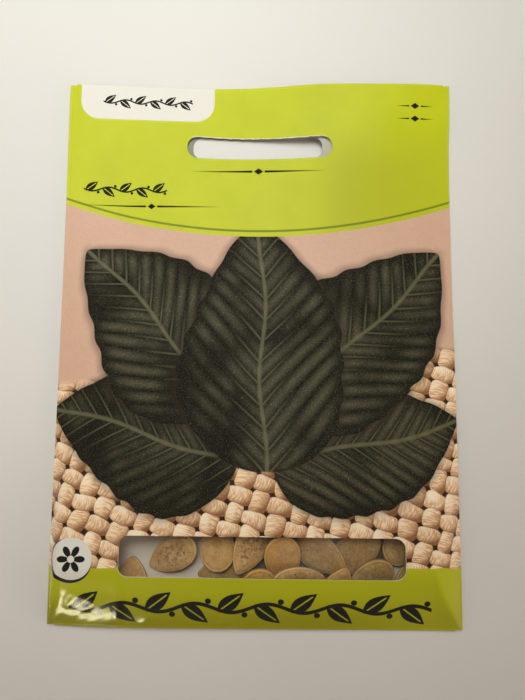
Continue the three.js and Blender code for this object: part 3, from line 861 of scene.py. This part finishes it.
lime = colour_mix(paper["Cloud"], LIME_SHADE, LIME)
# The lime is darker in a broad patch right of the middle, below the header's top edge.
header_darker_patch = x.fade(10, 24) * (1 - x.fade(38, 52) * 0.5) * y.fade(62, 46)
lime = colour_mix(header_darker_patch * 0.75, lime, LIME_DARKER_PATCH)
# The lime darkens towards the foot: painted shade, where the foot slopes away from the key lamp.
lime = colour_mix(y.fade(0, -50), lime, LIME_FOOT_PAINTED_SHADE)
# Painted shade, darker still along the bottom edge where the paper rolls down to the fold, most at
# the left and middle.
lime = colour_mix(y.fade(-59, -67.5) * (x.fade(50, 10) * 0.7 + 0.3), lime, LIME_BOTTOM_PAINTED_SHADE)
foot_line = x * FOOT_TILT + FOOT_TOP - abs(x).fade(43.5, 49) * FOOT_DIP
foot = (foot_line - y).fade(-0.06, 0.06)
header_line = HEADER_DIP + x * x * (HEADER_RISE / fold_x ** 2)
header = (y - header_line).fade(-0.06, 0.06)
pinstripe = abs(y - header_line - 1.5).fade(0.36, 0.24)
colour = colour_mix(foot.step("MAXIMUM", header), picture, lime)
colour = colour_mix(pinstripe * 0.8, colour, (0.12, 0.17, 0.012))


def patch_sizes(hole, share=1):
    """A Patch the size of a hole, narrowed to a share of its width."""
    return {
        "Centre_X": share * (hole["left"] + hole["right"]) / 2,
        "Centre_Y": (hole["bottom"] + hole["top"]) / 2,
        "Half_X": share * (hole["right"] - hole["left"]) / 2,
        "Half_Y": (hole["top"] - hole["bottom"]) / 2,
        "Corner": hole["corner"],
    }


def disc_over(colour, shade, x, y, radius):
    disc = use_group(
        patch_group, place, Centre_X=x, Centre_Y=y, Half_X=radius, Half_Y=radius, Corner=radius)
    return colour_mix(disc["Mask"], colour, shade)


tab = use_group(patch_group, place, **patch_sizes(TAB))
colour = colour_mix(tab["Mask"], colour, WHITE_PAPER)
colour = disc_over(colour, INK, BADGE["x"] - 0.35, BADGE["y"] - 0.45, BADGE["radius"])
colour = disc_over(colour, WHITE_PAPER, BADGE["x"], BADGE["y"], BADGE["radius"] - 0.35)
badge_x, badge_y = x - BADGE["x"], y - BADGE["y"]
reach = (badge_x * badge_x + badge_y * badge_y).step("SQRT")
petal = abs((badge_y.step("ARCTAN2", badge_x) * 3).step("COSINE")) ** 0.6 * 3.3
rosette = (petal - reach).fade(-0.08, 0.08) * reach.fade(0.75, 0.9)
colour = colour_mix(rosette, colour, INK)
for start, end, level, pitch, stem in VINES:
    vine = use_group(
        vine_group, place, Start=start, End=end, Level=level, Pitch=pitch, Stem=stem)
    colour = colour_mix(vine["Mask"], colour, INK)
for rule_x, rule_y, half, weight in RULES:
    rule = use_group(
        rule_group, place, Centre_X=rule_x, Centre_Y=rule_y, Half=half, Weight=weight)
    colour = colour_mix(rule["Mask"], colour, INK)

# Round the slot the torn paper leaves a fine ragged white rim. Along the window's lower edge a fine
# white rim is painted: the cut paper's white, as a highlight where light catches the cut.
RIM_HIGHLIGHT_WIDTH = 0.12
drawn_in = narrowing(WINDOW["bottom"])
window_patch = use_group(patch_group, place, **patch_sizes(WINDOW, drawn_in))
# Painted highlight on the window's cut edge, only along its lower part.
window_rim_highlight = window_patch["Inset"].fade(-RIM_HIGHLIGHT_WIDTH, -RIM_HIGHLIGHT_WIDTH / 3)
window_rim_highlight = window_rim_highlight * y.fade(WINDOW["top"] - 1, WINDOW["bottom"] + 2)
torn = paper["Fibre"] * 0.7 - 0.18
over_slot = y - SLOT["top"] - slot_sag(x, 1)
torn_rim = over_slot.fade(torn + 0.1, torn) * over_slot.fade(-0.5, -0.3) * abs(x).fade(18.6, 15.6)
colour = colour_mix(window_rim_highlight.step("MAXIMUM", torn_rim) * 0.8, colour, WHITE_PAPER)

# The ink rubs off the folds, where the white of the sheet shows in specks.
rubbed = (abs(x) - fold_x + paper["Fibre"] * 0.8).fade(0.42, 0.75)
rubbed_end = (abs(y) - fold_y + paper["Fibre"] * 0.8).fade(0.55, 0.85)
colour = colour_mix(rubbed.step("MAXIMUM", rubbed_end) * 0.2, colour, WHITE_PAPER)
give(shader.inputs["Coat Weight"], (y + fold_y).fade(0.2, 0.9) * 0.7 + 0.1)
wrinkled = (x + 20).fade(-3, -14) * (y + 57).fade(0, -4)
wrinkles = noise(place, 0.5, 3, 0.55) * wrinkled * 6
grain = paper["Fibre"] * 0.5 + noise(place, 0.35, 2) * 0.5 + wrinkles
finish_material(shader, colour, paper["Fibre"] * 0.16 + 0.30, grain, 0.00006, 0.5)

flap_print, shader, place = start_material("lime_bleed", **GLOSS)
paper = use_group(paper_group, place)
colour = colour_mix(paper["Cloud"], LIME_SHADE, LIME)
finish_material(shader, colour, paper["Fibre"] * 0.16 + 0.30, paper["Fibre"], 0.00004, 0.5)

bare_paper, shader, place = start_material("bare_paper", Specular_IOR_Level=0.1)
paper = use_group(paper_group, place)
x, y, _ = axes_of(place)
BARE_SHADE = (0.66, 0.635, 0.56)
SLOT_PAINTED_SHADE = (0.20, 0.22, 0.14)
PAINTED_SHADE_UNDER_SEEDS = (0.07, 0.045, 0.022)
DARKER_BROWNER = (0.66, 0.56, 0.43)
bare = colour_mix(paper["Fibre"].fade(0.3, 0.7), BARE_SHADE, WHITE_PAPER)
painted_shade_at_head, in_heap = y.fade(30, 45), y.fade(-40, -45)
# Painted shade on the inside face near the head, grey where it shows through the slot, most towards
# the left.
bare = colour_mix(painted_shade_at_head * (x.fade(12, -12) * 0.4 + 0.45), bare, SLOT_PAINTED_SHADE)
# Painted shade on the inside face under the heap, dark in the gaps between the seeds.
bare = colour_mix(in_heap * x.fade(-14, -8) * x.fade(33.5, 32) * 0.92, bare, PAINTED_SHADE_UNDER_SEEDS)
# Left of the heap the inside face is darker and browner.
bare = colour_mix(in_heap * x.fade(-8, -14) * 0.7, bare, DARKER_BROWNER)
finish_material(shader, bare, paper["Fibre"] * 0.2 + 0.68, paper["Fibre"], 0.00008, 0.7)

for material in (printed, flap_print, bare_paper):
    front_sheet.data.materials.append(material)
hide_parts("paper_envelope")
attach(front_sheet, "root")

# ---- The back panel ----
# The far half of the same sheet: it runs on from the right fold, and its free edge is glued over
# the side lap along the left fold. Its own slot lies a little inside the front's.
BACK_SLOT = {"left": -17.7, "right": 16.9, "bottom": 49.6, "top": 55.9, "corner": 2.6}
BACK_EDGE = 0.3  # the free edge stops this far short of the left fold
back_panel = flat_grid(
    "back_panel",
    lines((BACK_EDGE - fold_x, -flap_x, 0.33), (-flap_x, -44, 0.5), (-44, 40, 1.0),
          (40, fold_x - BACK_JOIN, 0.5)),
    lines((-fold_y, -66, 0.5), (-66, 66, 1.0), (66, fold_y, 0.5)))
apply_modifier(back_panel, "SOLIDIFY", thickness=PAPER, offset=1)
cut_out(back_panel, cutting_die(BACK_SLOT, tear=0.06))
for face in back_panel.data.polygons:
    face.material_index = 0 if face.normal.z < -0.5 else 1


def on_back(s, t):
    return np.stack([s * narrowing(t), t, back_height(s, t)], axis=1)


lay_out_map(back_panel, span=1.36 * HEIGHT)
lay_on(back_panel, on_back)
smooth_shading(back_panel)

back_print, shader, place = start_material("back_print", Specular_IOR_Level=0.4)
x, y, _ = axes_of(place)
paper = use_group(paper_group, place)
frame_patch = use_group(
    patch_group, place, Centre_X=0.0, Centre_Y=2.0, Half_X=45.0, Half_Y=44.0, Corner=3.0)
colour = colour_mix(paper["Cloud"], (0.68, 0.655, 0.585), WHITE_PAPER)
keyline = abs(frame_patch["Inset"]).fade(0.42, 0.3)
colour = colour_mix(keyline, colour, LIME)
colour = colour_mix((abs(x) - 48.6).fade(-0.1, 0.1), colour, LIME)
for level in (34.0, -30.0):
    mask = use_group(
        rule_group, place, Centre_X=0.0, Centre_Y=level, Half=34.0, Weight=0.34)["Mask"]
    colour = colour_mix(mask, colour, (0.10, 0.13, 0.02))
finish_material(shader, colour, paper["Fibre"] * 0.2 + 0.5, paper["Fibre"], 0.00006, 0.6)
back_panel.data.materials.append(back_print)
back_panel.data.materials.append(bare_paper)
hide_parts("paper_envelope")
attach(back_panel, "root")

# ---- Window film ----
# A strip of clear film glued behind the window. It lies a little slack, so its gloss ripples.
FILM_LIP = {"left": 7.4, "right": 6.1, "bottom": 4.5, "top": 3.9}
film_left, film_right = WINDOW["left"] - FILM_LIP["left"], WINDOW["right"] + FILM_LIP["right"]
film_bottom, film_top = WINDOW["bottom"] - FILM_LIP["bottom"], WINDOW["top"] + FILM_LIP["top"]
film = flat_grid(
    "window_film_sheet", lines((film_left, film_right, 0.8)), lines((film_bottom, film_top, 0.8)))
apply_modifier(film, "SOLIDIFY", thickness=FILM, offset=-1)
lay_on(film, folded, -PAPER - SEAM)
smooth_shading(film)
CLEAR = (0.7, 0.68, 0.64, 1)
clear_film, shader, place = start_material("clear_film", Specular_IOR_Level=0.5)
slack = noise(place, 0.11, 2)
give(shader.inputs["Alpha"], slack.fade(0.50, 0.70) * 0.03 + 0.012)
finish_material(shader, CLEAR, noise(place, 0.6, 3) * 0.10 + 0.04, slack, 0.0004, 0.5)
film.data.materials.append(clear_film)
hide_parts("window_film")
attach(film, "root")

# ---- Glue ----
# Thin strips of dried white glue: round the window on the film, down the side lap, and under the
# two end flaps. Each was rolled on wet, so its edges wander and it dried in low ridges.
GLUE_INSET = 1.2
GLUE_MARGIN = 0.4
END_GAP = 2
SKIN = 0.02


def inward(places, low, high):
    """1 on the low edge, -1 on the high edge and 0 between them."""
    on_low, on_high = np.abs(places - low) < 0.01, np.abs(places - high) < 0.01
    return on_low * 1.0 - on_high


def glue_strip(name, node, left, right, bottom, top, surface, level, hole=None):
    """A strip of glue whose outer face lies at a level over a surface."""
    strip = flat_grid(name, lines((left, right, 1.0)), lines((bottom, top, 1.0)))
    if hole:
        delete_faces(strip, lambda c: (
            hole["left"] < c.x < hole["right"] and hole["bottom"] < c.y < hole["top"]))
    points = points_of(strip)
    x, y = points[:, 0], points[:, 1]
    wander = 0.3 * np.sin(1.3 * x) + 0.2 * np.sin(2.9 * x + 1)
    sideways = 0.3 * np.sin(1.1 * y) + 0.2 * np.sin(2.7 * y + 2)
    points[:, 1] += wander * inward(y, bottom, top)
    points[:, 0] += sideways * inward(x, left, right)
    move_points(strip, points)
    apply_modifier(strip, "SOLIDIFY", thickness=GLUE, offset=-1)
    lay_on(strip, surface, level)
    smooth_shading(strip)
    strip.data.materials.append(dried_glue)
    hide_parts(node)
    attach(strip, "root")


dried_glue, shader, place = start_material("dried_glue", Specular_IOR_Level=0.5)
ridges = noise(place, 0.9, 3)
colour = colour_mix(ridges, (0.74, 0.71, 0.62), (0.86, 0.84, 0.77))
finish_material(shader, colour, ridges * 0.3 + 0.32, ridges, 0.00004, 0.6)

lap_inside = LAP_WIDTH - WIDTH / 2
glue_strip(
    "window_glue", "window_film_glue", film_left + GLUE_MARGIN, film_right - GLUE_MARGIN,
    film_bottom + GLUE_MARGIN, film_top - GLUE_MARGIN, folded, -PAPER - SKIN,
    hole={"left": WINDOW["left"] - GLUE_INSET, "right": WINDOW["right"] + GLUE_INSET,
          "bottom": WINDOW["bottom"] - GLUE_INSET, "top": WINDOW["top"] + GLUE_INSET})
glue_strip(
    "lap_glue", "side_seam_glue", GLUE_MARGIN - flap_x, lap_inside - GLUE_MARGIN,
    END_GAP - fold_y, fold_y - END_GAP, on_back, PAPER + SKIN + GLUE)
glue_strip(
    "bottom_glue", "bottom_flap_glue", lap_inside, film_right, END_GAP - fold_y,
    WINDOW["bottom"], on_back, -SKIN)
glue_strip(
    "top_glue", "top_flap_glue", lap_inside, film_right, HEIGHT / 2 - TOP_FLAP + 1,
    fold_y - 4.5, on_back, -SKIN)

# ---- Seeds ----
# Loose flat seeds heaped in the foot of the packet. Each has a woody coat with a raised, paler rim
# round a low groove, a broad round end and a blunt tip where it hung, some marked by the fruit.
RIM_RING, RIM_WIDTH, RIM_HEIGHT = 0.945, 0.026, 0.09
GROOVE_RING, GROOVE_WIDTH, GROOVE_DEPTH = 0.885, 0.04, 0.08
SEED_THINNING = 0.92  # so that the raised rim and the swell stay clear of the neighbours
bpy.ops.mesh.primitive_uv_sphere_add(segments=48, ring_count=36, radius=1)
seed_pattern = bpy.context.object
seed_pattern.name = "seed_pattern"
points = points_of(seed_pattern)
u = np.clip(points[:, 0], -0.9999, 0.985)
ring = np.minimum(np.hypot(points[:, 0], points[:, 1]), 1)
outline = np.sqrt(1 + u) * (1 - u) ** 0.75 / 1.0255
squeeze = outline / np.sqrt(np.maximum(1e-6, 1 - u * u))
rim = np.exp(-((ring - RIM_RING) / RIM_WIDTH) ** 2)
groove = np.exp(-((ring - GROOVE_RING) / GROOVE_WIDTH) ** 2)
plump = np.sqrt(np.maximum(0, 1 - ring ** 6)) * (0.78 + 0.22 * (1 - ring ** 2))
thick = (plump - GROOVE_DEPTH * groove + RIM_HEIGHT * rim * (ring < 0.985)) * squeeze ** 0.6
ripple = 1 + 0.02 * np.sin(9 * u + 4 * points[:, 1]) + 0.015 * np.sin(17 * points[:, 1] + 3 * u)
move_points(seed_pattern, np.stack(
    [u, points[:, 1] * squeeze, np.sign(points[:, 2]) * thick * ripple], axis=1))
for label, values in (("ring", ring), ("tip", u)):
    layer = seed_pattern.data.attributes.new(label, "FLOAT", "POINT")
    layer.data.foreach_set("value", values)

STAIN = (0.17, 0.085, 0.036)
SPECK = (0.03, 0.020, 0.012)
SEED_EDGE_PAINTED_SHADE = (0.05, 0.03, 0.015)
SEED_TONES = [
    # body colour, paler patches, how strongly it is marked
    ((0.46, 0.245, 0.072), (0.59, 0.36, 0.125), 0.20),
    ((0.45, 0.215, 0.048), (0.56, 0.315, 0.085), 0.10),
    ((0.44, 0.240, 0.080), (0.58, 0.37, 0.150), 0.80),
    ((0.36, 0.205, 0.060), (0.48, 0.30, 0.105), 0.40),
]


def layer_of(shader, name):
    """A number stored on the seed's points, read by its name."""
    node = shader.id_data.nodes.new("ShaderNodeAttribute")
    node.attribute_name = name
    return Channel(node.outputs["Fac"])


def seed_coat(number, body, pale, marking):
    """A seed's coat: its own tone, how much of it is stained and speckled, and painted shade in its
    groove and round its edge.
    """
    coat, shader, place = start_material(f"seed_coat_{number}", Specular_IOR_Level=0.2)
    ring = layer_of(shader, "ring")
    cloud = noise(place, 0.35, 4, 0.55)
    grain = noise(place, 1.6, 5, 0.65)
    speck = noise(place, 2.2, 2, 0.5)
    colour = colour_mix(cloud.fade(0.3, 0.7), body, pale)
    colour = colour_mix(grain.fade(0.62, 0.35) * 0.35, colour, tuple(0.55 * c for c in body))
    mottle = noise(place, 1.1, 5, 0.7).fade(0.45, 0.58) * ring.fade(0.80, 0.45)
    colour = colour_mix(mottle * marking * 0.9, colour, STAIN)
    colour = colour_mix(speck.fade(0.65, 0.68) * marking, colour, SPECK)
    # Painted shade in the low groove inside the rim.
    in_groove = ring.fade(0.82, 0.88) * ring.fade(0.94, 0.90)
    colour = colour_mix(in_groove * 0.3, colour, tuple(0.60 * c for c in body))
    on_rim = ring.fade(0.90, 0.95)
    colour = colour_mix(on_rim * 0.6, colour, tuple(min(1, 1.20 * c) for c in pale))
    # Painted shade round the seed's outer edge, where it lies against its neighbours.
    colour = colour_mix(ring.fade(0.965, 1.0) * 0.7, colour, SEED_EDGE_PAINTED_SHADE)
    hilum = layer_of(shader, "tip").fade(0.86, 0.97)
    colour = colour_mix(hilum * 0.5, colour, tuple(0.5 * c for c in body))
    finish_material(shader, colour, grain * 0.25 + 0.42, grain * 0.6 + cloud * 0.4, 0.00012, 0.6)
    return coat


coats = [seed_coat(number + 1, *tone) for number, tone in enumerate(SEED_TONES)]
# The tone of each seed, in the order of their numbers; the marked ones show in the window.
SEED_ORDER = [3, 2, 0, 3, 0, 3, 2, 3, 3, 1, 2, 3, 1, 2, 0]
for number in range(1, 28):
    node = f"seed_{number:02d}"
    solid = points_of(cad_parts[node])
    middle = solid.mean(axis=0)
    tip = solid[np.argmax(np.linalg.norm(solid - middle, axis=1))]
    butt = solid[np.argmax(np.linalg.norm(solid - tip, axis=1))]
    forward = (tip - butt) / np.linalg.norm(tip - butt)
    off_axis = np.linalg.norm(np.cross(solid - middle, forward), axis=1)
    forward *= -np.sign(np.sum((solid - middle) @ forward * off_axis))
    flat = np.linalg.eigh(np.cov(solid.T))[1][:, 0]
    flat *= np.sign(flat[2])
    forward -= flat * (forward @ flat)
    forward /= np.linalg.norm(forward)
    ways = (forward, np.cross(flat, forward), flat)
    half = [np.ptp(solid @ way) / 2 for way in ways]
    centre = sum(way * ((solid @ way).min() + reach) for way, reach in zip(ways, half))
    half[2] *= SEED_THINNING
    seed = seed_pattern.copy()
    seed.data = seed_pattern.data.copy()
    seed.name = seed.data.name = f"squash_{node}"
    bpy.context.scene.collection.objects.link(seed)
    shape = points_of(seed_pattern)
    move_points(seed, centre + sum(
        np.outer(shape[:, k], way) * half[k] for k, way in enumerate(ways)))
    smooth_shading(seed, 60)
    tone = SEED_ORDER[number - 1] if number <= len(SEED_ORDER) else number % len(coats)
    seed.data.materials.append(coats[tone])
    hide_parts(node)
    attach(seed, "root")
bpy.data.objects.remove(seed_pattern)
